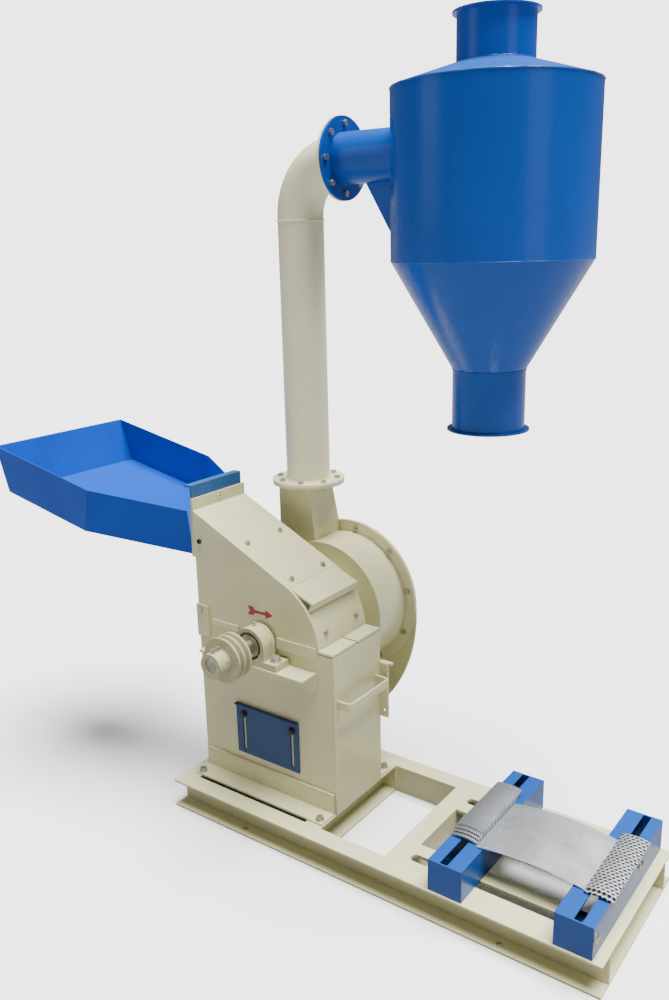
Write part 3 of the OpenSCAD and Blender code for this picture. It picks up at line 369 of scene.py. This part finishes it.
def perforated(name, colour, pitch, hole, seed=0.0, across="X", along="Y", rough=0.34, metal=0.85, slots=1.0):
    """Punched sheet: staggered holes painted near-black as painted shade, not cut through, with turned-in rims and
    darker round each hole.
    """
    material, wire, place = new_finish(name)
    axes = {"X": 0, "Y": 1, "Z": 2}
    u = wire.put("ShaderNodeSeparateXYZ", {}, {"Vector": place}, out=axes[across]) * (1 / pitch)
    v = wire.put("ShaderNodeSeparateXYZ", {}, {"Vector": place}, out=axes[along]) * (1 / (pitch * 0.866 * slots))
    row = wire.put("ShaderNodeMath", {"operation": "FLOOR"}, {0: v})
    odd = wire.put("ShaderNodeMath", {"operation": "FLOORED_MODULO"}, {0: row, 1: 2.0})
    a = wire.put("ShaderNodeMath", {"operation": "FRACT"}, {0: u + odd * 0.5}) - 0.5
    b = wire.put("ShaderNodeMath", {"operation": "FRACT"}, {0: v}) - 0.5
    apart = wire.put("ShaderNodeMath", {"operation": "SQRT"}, {0: a * a + b * b * (0.75 * slots)})
    wall = apart.steps((hole / 2 - 0.02, 0.0), (hole / 2 + 0.02, 1.0))
    rim = apart.steps((hole / 2 + 0.01, 1.0), (hole / 2 + 0.12, 0.0))
    stain = speckle(wire, stretched(wire, place, 1, 1, 1, seed), 24, 4.0, 0.6).steps((0.4, 0.0), (0.75, 1.0))
    tint = (stain * 0.5).blend(colour, tuple(c * 0.55 for c in colour[:3]) + (1,))
    tint = (rim * 0.5).blend(tint, tuple(c * 0.45 for c in colour[:3]) + (1,))
    # The holes are not cut: they are painted near-black, painted shade for the dark seen through them.
    tint = (1.0 - wall).blend(tint, (0.02, 0.02, 0.022, 1))
    relief = wire.put("ShaderNodeBump", {}, {"Strength": 0.6, "Distance": 0.0012, "Height": wall - rim * 0.4})
    close_finish(wire, Base_Color=tint, Roughness=stain * 0.2 + rough, Metallic=wall * metal, Normal=relief)
    return material


dress("screen", perforated("screen_steel", (0.36, 0.36, 0.37, 1), 0.006, 0.55, 1.0))

# ---- Cover -----------------------------------------------------------------------------------
# The hinged upper half of the casing: 4 mm plate, rolled round the rotor and straight up to the
# mouth, with sealing strips, two clamp tabs, a lifting angle and bolts that hold the inner liner.
cover_paint = enamel("cover_cream_paint", cream, cream_deep, cream_dust, 0.25, 10.0, 0.15, 0.6)
dress("cover_shell", cover_paint)
dress("cover_handle", enamel("cover_handle_paint", cream, cream_deep, cream_dust, 0.3, 11.0, 0.2, 1.0))
dress("cover_strips", enamel("cover_strip_paint", cream, cream_deep, cream_dust, 0.32, 12.0, 0.3, 0.9))
dress("hinge_leaves", enamel("hinge_leaf_paint", cream, cream_deep, cream_dust, 0.32, 13.0, 0.2, 0.9))
dress("hinge_bolts", plated("hinge_bolt_plating", (0.56, 0.53, 0.43, 1), 0.36, 5.0, 0.5))
dress("liner_bolts", plated("liner_bolt_plating", (0.46, 0.43, 0.34, 1), 0.3, 6.0, 0.8))


def forged(name, colour, seed=0.0, rough=0.5):
    """Hot-worked steel: dark scale, worn lighter where the grain strikes."""
    material, wire, place = new_finish(name)
    here = stretched(wire, place, 1, 1, 1, seed)
    scale = speckle(wire, here, 70, 5.0, 0.7)
    rubbed = speckle(wire, here, 9, 3.0, 0.6).steps((0.45, 0.0), (0.7, 1.0))
    round_edge = wire.put("ShaderNodeBevel", {"samples": 4}, {"Radius": 0.0015})
    tint = (rubbed * 0.6).blend(colour, tuple(min(1, c * 2.1) for c in colour[:3]) + (1,))
    relief = wire.put("ShaderNodeBump", {}, {"Strength": 0.4, "Distance": 0.0008, "Height": scale,
                                             "Normal": round_edge})
    close_finish(wire, Base_Color=tint, Roughness=scale * 0.25 + rough - rubbed * 0.1, Metallic=0.65 + rubbed * 0.3,
                 Normal=relief)
    return material


dress("breaker_liner", forged("breaker_liner_steel", (0.14, 0.13, 0.12, 1), 1.0))

# Turning arrow: a thin red painted mark on the front of the cover, with a feathered tail.
cover_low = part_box("cover_shell")[0]
paint_thick = 0.0004
arrow_y = cover_low.y - paint_thick / 2
arrow_z = 0.556
arrow_tip_x = -0.309
parts = []
bpy.ops.mesh.primitive_cube_add(size=1, location=(-0.347, arrow_y, arrow_z), scale=(0.034, paint_thick, 0.0078))
parts.append(bpy.context.object)
bpy.ops.mesh.primitive_cube_add(size=1, location=(-0.3195, arrow_y, arrow_z), scale=(0.022, paint_thick, 0.023))
head = bpy.context.object
bpy.ops.object.transform_apply(location=True, rotation=True, scale=True)
bpy.ops.object.mode_set(mode="EDIT")
take(lambda c: c.x > arrow_tip_x - 0.002, "VERT")
bpy.ops.transform.resize(value=(1, 1, 0.06), center_override=(arrow_tip_x, arrow_y, arrow_z))
bpy.ops.object.mode_set(mode="OBJECT")
parts.append(head)
for side in (1, -1):
    bpy.ops.mesh.primitive_cube_add(size=1, location=(-0.371, arrow_y, arrow_z + side * 0.0045),
                                    scale=(0.018, paint_thick, 0.009))
    feather = bpy.context.object
    bpy.ops.object.transform_apply(location=True, rotation=True, scale=True)
    bpy.ops.object.mode_set(mode="EDIT")
    take(lambda c, s=side: s * (c.z - arrow_z) > 0.006, "VERT")
    bpy.ops.transform.translate(value=(-0.007, 0, side * 0.0025))
    bpy.ops.object.mode_set(mode="OBJECT")
    parts.append(feather)
arrow = joined(parts)
material, wire, place = new_finish("arrow_red_paint")
scuffs = speckle(wire, place, 160, 4.0, 0.7).steps((0.55, 0.0), (0.7, 1.0))
red = (scuffs * 0.5).blend((0.33, 0.008, 0.016, 1), (0.45, 0.20, 0.16, 1))
relief = wire.put("ShaderNodeBump", {}, {"Strength": 0.15, "Distance": 0.0003, "Height": scuffs})
close_finish(wire, Base_Color=red, Roughness=scuffs * 0.2 + 0.4, Normal=relief)
settle(arrow, "turning_arrow", "cover", material, 20)

# Black socket bolt beside the mouth: it clamps the mouth plate to the front of the cover.
socket_head = 0.005
bpy.ops.mesh.primitive_cylinder_add(vertices=28, radius=0.0062, depth=socket_head,
                                    location=(-0.537, cover_low.y - socket_head / 2, 0.705),
                                    rotation=(math.radians(90), 0, 0))
socket_bolt = bpy.context.object
bpy.ops.object.transform_apply(location=True, rotation=True, scale=True)
face_y = cover_low.y - socket_head
bpy.ops.object.mode_set(mode="EDIT")
take(lambda c: c.y < face_y + 0.0001)
bpy.ops.mesh.inset(thickness=0.0028)
bpy.ops.mesh.extrude_region_move(TRANSFORM_OT_translate={"value": (0, 0.003, 0)})
bpy.ops.object.mode_set(mode="OBJECT")
socket_bolt.modifiers.new("round", "BEVEL").width = 0.0006
socket_black = plated("socket_bolt_black", (0.035, 0.035, 0.037, 1), 0.4, 7.0, 0.2, 0.5)
settle(socket_bolt, "mouth_socket_bolt", "cover", socket_black, 30)

# ---- Mouth, gate and tray --------------------------------------------------------------------
# A cream plate frames the mouth. A blue gate slides up behind it, and the tray, folded from 3 mm
# blue sheet, widens away from the mouth and leans up, so that grain is raked down to the gate.
dress("mouth_flange", enamel("mouth_flange_paint", cream, cream_deep, cream_dust, 0.3, 14.0, 0.2, 0.8))
gate_blue, gate_deep, gate_dust = (0.015, 0.085, 0.25, 1), (0.01, 0.07, 0.21, 1), (0.12, 0.19, 0.32, 1)
dress("feed_gate", enamel("feed_gate_blue", gate_blue, gate_deep, gate_dust, 0.36, 15.0, 0.3, 0.9, 0.3))
tray_blue, tray_deep, tray_dust = (0.0, 0.062, 0.43, 1), (0.0, 0.048, 0.35, 1), (0.01, 0.14, 0.50, 1)
dress("feed_tray", enamel("feed_tray_blue", tray_blue, tray_deep, tray_dust, 0.26, 16.0, 0.15, 0.6, 0.15))

# Round-headed screw in the middle of the mouth plate, under its top edge.
flange_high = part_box("mouth_flange")[1]
screw_y, screw_z = -0.005, flange_high.z - 0.014
bpy.ops.mesh.primitive_uv_sphere_add(segments=20, ring_count=10, radius=0.0065,
                                     location=(flange_high.x - 0.0002, screw_y, screw_z))
screw = bpy.context.object
bpy.ops.object.transform_apply(location=True, rotation=True, scale=True)
bpy.ops.object.mode_set(mode="EDIT")
bpy.ops.mesh.select_all(action="SELECT")
bpy.ops.mesh.bisect(plane_co=(flange_high.x - 0.0001, 0, 0), plane_no=(1, 0, 0), clear_inner=True, use_fill=True)
bpy.ops.mesh.select_all(action="SELECT")
bpy.ops.transform.resize(value=(0.6, 1, 1), center_override=(flange_high.x, screw_y, screw_z))
bpy.ops.object.mode_set(mode="OBJECT")
settle(screw, "mouth_flange_screw", "cover", nipple_steel, 40)

# ---- Rotor -----------------------------------------------------------------------------------
# Shaft with five discs, spacer sleeves, four hammer pins and sixteen swinging hammers. The pulley
# is keyed on one end and the fan wheel on the other.
dress("rotor_shaft", turned_steel("shaft_steel", (0.36, 0.34, 0.27, 1), 0.42, 2.0))
dress("rotor_discs", forged("rotor_disc_steel", (0.15, 0.15, 0.155, 1), 2.0))
dress("rotor_sleeves", forged("sleeve_steel", (0.19, 0.19, 0.19, 1), 3.0))
dress("hammer_pins", turned_steel("hammer_pin_steel", (0.42, 0.42, 0.41, 1), 0.3, 3.0))
hammer_steel = forged("hammer_steel", (0.20, 0.20, 0.205, 1), 4.0, 0.42)
for row in range(1, 5):
    dress(f"hammers_row_{row}", hammer_steel)
dress("pulley", cast_paint("pulley_paint_over_iron", (0.42, 0.40, 0.23, 1), (0.28, 0.265, 0.15, 1), 17.0))
dress("pulley_set_screws", plated("set_screw_plating", (0.50, 0.48, 0.40, 1), 0.36, 8.0, 0.6))
dress("pulley_key", turned_steel("key_steel", (0.5, 0.5, 0.5, 1), 0.3, 4.0, 500.0, "X"))
dress("impeller", enamel("impeller_paint", cream, cream_deep, cream_dust, 0.35, 18.0, 0.2, 1.0))

# ---- Blower ----------------------------------------------------------------------------------
# Suction box on the back of the casing, fan drum with a bolted ring, and the back plate, drawn out
# below into the stay that stands on the outrigger. All folded and rolled plate, painted cream.
dress("suction_box", enamel("suction_box_paint", cream, cream_deep, cream_dust, 0.3, 19.0, 0.2, 0.6))
dress("blower_drum", enamel("blower_drum_paint", (0.72, 0.69, 0.40, 1), cream, cream_dust, 0.2, 20.0, 0.15, 0.5, 0.8))
dress("blower_back_plate", enamel("blower_plate_paint", cream, cream_deep, cream_dust, 0.26, 21.0, 0.15, 0.7))
dress("blower_brackets", enamel("blower_bracket_paint", cream, cream_deep, cream_dust, 0.34, 22.0, 0.3, 0.8))
dress("blower_outrigger", enamel("outrigger_paint", cream, cream_deep, cream_dust, 0.36, 23.0, 0.35, 0.8))
dress("blower_bolts", plated("blower_bolt_plating", (0.46, 0.43, 0.34, 1), 0.3, 9.0, 0.7))
duct_paint = enamel("outlet_duct_paint", cream, cream_deep, cream_dust, 0.24, 24.0, 0.15, 0.6)
dress("outlet_duct", duct_paint)


def ring_bead(centre, axis, radius, width, seed):
    """A weld run round a pipe or drum."""
    turn = Vector(axis).to_track_quat("Z", "Y").to_euler()
    bpy.ops.mesh.primitive_torus_add(major_segments=96, minor_segments=8, major_radius=radius, minor_radius=width / 2,
                                     location=centre, rotation=turn)
    bead = bpy.context.object
    bpy.ops.object.transform_apply(location=True, rotation=True, scale=True)
    bpy.ops.object.mode_set(mode="EDIT")
    bpy.ops.mesh.select_all(action="SELECT")
    bpy.ops.transform.vertex_random(offset=width * 0.16, seed=seed)
    bpy.ops.object.mode_set(mode="OBJECT")
    return bead


duct_low, duct_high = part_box("outlet_duct")
pipe_low, pipe_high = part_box("delivery_pipe")
duct_x = (duct_low.x + duct_high.x) / 2
pipe_y = (pipe_low.y + pipe_high.y) / 2
axis_x, axis_z = -0.3425, 0.489
drum_bead_r, pipe_bead_r = 0.1765, 0.0578
bead_drop = 0.0065  # from the face of a pipe flange to the weld behind it
drum_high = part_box("blower_drum")[1]
drum_beads = [
    ring_bead((axis_x, drum_high.y - 0.0055, axis_z), (0, 1, 0), drum_bead_r, 0.004, 41),
    ring_bead((duct_x, pipe_y, duct_high.z - bead_drop), (0, 0, 1), pipe_bead_r, 0.0035, 42),
]
settle(joined(drum_beads), "blower_weld_beads", "frame", duct_paint)

# ---- Delivery pipe ---------------------------------------------------------------------------
# A 4 inch pipe with a bolted flange below, a welded elbow on top and a flange to the cyclone.
pipe_cream, pipe_cream_deep = (0.88, 0.84, 0.56, 1), (0.80, 0.76, 0.49, 1)
pipe_paint = enamel("delivery_pipe_paint", pipe_cream, pipe_cream_deep, cream_dust, 0.24, 25.0, 0.1, 0.6)
dress("delivery_pipe", pipe_paint)
dress("pipe_flange_bolts", plated("flange_bolt_plating", (0.50, 0.47, 0.38, 1), 0.3, 10.0, 0.6))
elbow_foot_z, elbow_mouth_z = 1.469, 1.605
pipe_beads = [
    ring_bead((duct_x, pipe_y, elbow_foot_z), (0, 0, 1), 0.0573, 0.004, 43),
    ring_bead((duct_x, pipe_y, pipe_low.z + bead_drop), (0, 0, 1), pipe_bead_r, 0.0035, 44),
    ring_bead((pipe_high.x - bead_drop, pipe_y, elbow_mouth_z), (1, 0, 0), pipe_bead_r, 0.0035, 45),
]
settle(joined(pipe_beads), "pipe_weld_beads", "frame", pipe_paint)

# ---- Cyclone ---------------------------------------------------------------------------------
# Rolled blue sheet: a straight body with a long cone and a flanged tube below, a conical lid with
# an air tube above, and the flanged inlet pipe with a gusset plate under it.
blue = (0.0, 0.075, 0.40, 1)
blue_deep = (0.0, 0.058, 0.33, 1)
blue_dust = (0.06, 0.16, 0.42, 1)
cyclone_paint = enamel("cyclone_blue", blue, blue_deep, blue_dust, 0.24, 26.0, 0.1, 0.5, 0.25)
dress("cyclone_body", cyclone_paint)
dress("cyclone_lid", enamel("cyclone_lid_blue", blue, blue_deep, blue_dust, 0.26, 27.0, 0.3, 0.5, 0.3))
inlet_paint = enamel("cyclone_inlet_blue", blue, blue_deep, blue_dust, 0.26, 28.0, 0.15, 0.7, 0.25)
dress("cyclone_inlet", inlet_paint)
body_low, body_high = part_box("cyclone_body")
cyclone_x, cyclone_y = (body_low.x + body_high.x) / 2, (body_low.y + body_high.y) / 2
cone_top_z, cone_foot_z, air_tube_foot_z = 1.373, 1.136, 1.768
cyclone_beads = [
    ring_bead((cyclone_x, cyclone_y, body_high.z + 0.0015), (0, 0, 1), 0.2195, 0.004, 51),
    ring_bead((cyclone_x, cyclone_y, cone_top_z), (0, 0, 1), 0.2192, 0.003, 52),
    ring_bead((cyclone_x, cyclone_y, cone_foot_z), (0, 0, 1), 0.0822, 0.003, 53),
    ring_bead((cyclone_x, cyclone_y, air_tube_foot_z), (0, 0, 1), 0.0824, 0.0035, 54),
]
settle(joined(cyclone_beads), "cyclone_weld_beads", "frame", cyclone_paint)

# ---- Motor rails -----------------------------------------------------------------------------
# Two blue folded rails with a slot along the top for the motor's foot bolts. Each is clamped to the
# guides by two bolts from inside.
rail_blue, rail_deep, rail_dust = (0.001, 0.06, 0.29, 1), (0.001, 0.046, 0.23, 1), (0.04, 0.12, 0.36, 1)
rail_paint = enamel("motor_rail_blue", rail_blue, rail_deep, rail_dust, 0.3, 29.0, 0.2, 1.0, 0.3)
dress("motor_rail_1", rail_paint)
dress("motor_rail_2", rail_paint)
dress("rail_bolts_1", plated("rail_bolt_plating", (0.52, 0.50, 0.43, 1), 0.38, 11.0, 0.6))
dress("rail_bolts_2", plated("rail_bolt_plating_outer", (0.52, 0.50, 0.43, 1), 0.38, 12.0, 0.6))

# Bent rod ends on the outer side of the far rail, where the belt tightener is hooked.
rail_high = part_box("motor_rail_2")[1]
rod_r = 0.0024
rod_x = rail_high.x + 0.0035
rod_ends = (((-0.206, 0.140), (-0.206, 0.122), (-0.199, 0.114), (-0.189, 0.114), (-0.182, 0.122)),
            ((0.046, 0.142), (0.046, 0.130), (0.053, 0.122), (0.062, 0.122), (0.068, 0.130)))
hooks = []
for run in rod_ends:
    for start, end in zip(run, run[1:]):
        a, b = Vector((rod_x, *start)), Vector((rod_x, *end))
        turn = (b - a).to_track_quat("Z", "Y").to_euler()
        bpy.ops.mesh.primitive_cylinder_add(vertices=16, radius=rod_r, depth=(b - a).length + 0.002,
                                            location=(a + b) / 2, rotation=turn)
        bpy.ops.object.transform_apply(location=True, rotation=True, scale=True)
        hooks.append(bpy.context.object)
settle(joined(hooks), "rail_hook_rods", "motor_rail_2", nipple_steel)

# ---- Spare screens and sheet -----------------------------------------------------------------
# Curved screens with other hole sizes and a smooth sheet, laid on the rails for the customer.
dress("spare_screens_left", perforated("spare_screen_fine", (0.40, 0.42, 0.45, 1), 0.0052, 0.5, 3.0, slots=1.6))
dress("spare_screens_right", perforated("spare_screen_round", (0.62, 0.64, 0.66, 1), 0.0105, 0.62, 4.0))


def rolled_sheet(name, colour, seed=0.0):
    """Cold-rolled bright sheet: long faint rolling lines and cloudy finger marks."""
    material, wire, place = new_finish(name)
    lines = speckle(wire, stretched(wire, place, 6, 260, 6, seed), 1.0, 4.0, 0.6)
    cloud = speckle(wire, stretched(wire, place, 1, 1, 1, seed), 11, 4.0, 0.6).steps((0.35, 0.0), (0.7, 1.0))
    spots = speckle(wire, place, 75, 4.0, 0.7).steps((0.62, 0.0), (0.72, 1.0))
    tint = (cloud * 0.5).blend(colour, tuple(c * 0.75 for c in colour[:3]) + (1,))
    tint = (spots * 0.35).blend(tint, (0.26, 0.24, 0.22, 1))
    relief = wire.put("ShaderNodeBump", {}, {"Strength": 0.15, "Distance": 0.0006, "Height": lines})
    close_finish(wire, Base_Color=tint, Roughness=lines * 0.12 + cloud * 0.12 + 0.26, Metallic=0.9 - spots * 0.4,
                 Normal=relief)
    return material


dress("spare_sheet", rolled_sheet("spare_sheet_steel", (0.80, 0.83, 0.86, 1), 5.0))

# ---- Floor, light and camera -----------------------------------------------------------------
# Plain floor that runs out of sight, with soft light from above and both sides. The floor and the
# surround are paler to the camera than they are to the mill, which keeps its undersides dark.
bpy.ops.mesh.primitive_plane_add(size=60, location=(0, 0, -0.0005))
floor = bpy.context.object
floor.name = "floor"
material, wire, place = new_finish("floor_pale")
faint = speckle(wire, place, 1.5, 2.0, 0.5)
seen = wire.put("ShaderNodeLightPath")
lit_tone = faint.blend((0.25, 0.25, 0.25, 1), (0.26, 0.26, 0.26, 1))
close_finish(wire, Base_Color=seen.blend(lit_tone, (0.95, 0.95, 0.95, 1)), Roughness=0.9, Specular_IOR_Level=0.1)
floor.data.materials.append(material)

world = bpy.data.worlds.new("studio")
world.use_nodes = True
backdrop = world.node_tree.nodes["Background"]
backdrop.inputs["Color"].default_value = (1.0, 1.0, 1.0, 1)
seen = world.node_tree.nodes.new("ShaderNodeLightPath").outputs["Is Camera Ray"]
brightness = world.node_tree.nodes.new("ShaderNodeMapRange")
brightness.inputs["To Min"].default_value = 0.2
brightness.inputs["To Max"].default_value = 3.6
world.node_tree.links.new(seen, brightness.inputs["Value"])
world.node_tree.links.new(brightness.outputs["Result"], backdrop.inputs["Strength"])
bpy.context.scene.world = world


def soft_light(name, place, aim, width, height, power):
    data = bpy.data.lights.new(name, "AREA")
    data.shape, data.size, data.size_y, data.energy = "RECTANGLE", width, height, power
    lamp = bpy.data.objects.new(name, data)
    lamp.location = place
    lamp.rotation_euler = (Vector(aim) - Vector(place)).to_track_quat("-Z", "Y").to_euler()
    bpy.context.collection.objects.link(lamp)


soft_light("left_light", (-2.6, -2.6, 2.6), (-0.3, 0, 0.9), 1.6, 2.4, 14)
soft_light("right_light", (3.2, -0.8, 2.2), (0, 0, 0.9), 1.4, 2.4, 10)
sky_panel = bpy.data.lights.new("overhead_light", "SUN")
sky_panel.energy = 12.0
sky_panel.angle = math.radians(38)
overhead = bpy.data.objects.new("overhead_light", sky_panel)
overhead.rotation_euler = (math.radians(-4), math.radians(10), 0)
bpy.context.collection.objects.link(overhead)

camera_data = bpy.data.cameras.new("studio_camera")
camera_data.sensor_fit = "AUTO"
camera_data.sensor_width = 36
camera_data.lens = 33.595
camera = bpy.data.objects.new("studio_camera", camera_data)
bpy.context.collection.objects.link(camera)
bpy.context.scene.camera = camera
eye = (1.0533, -1.6841, 1.4261)
turn, tilt, roll = math.radians(36.46), math.radians(-15.68), math.radians(-1.354)
ahead = Vector((-math.sin(turn) * math.cos(tilt), math.cos(turn) * math.cos(tilt), math.sin(tilt)))
level = Vector((math.cos(turn), math.sin(turn), 0))
upward = level.cross(ahead)
right = math.cos(roll) * level + math.sin(roll) * upward
above = -math.sin(roll) * level + math.cos(roll) * upward
facing = Matrix((right, above, -ahead)).transposed().to_4x4()
camera.matrix_world = Matrix.Translation(eye) @ facing
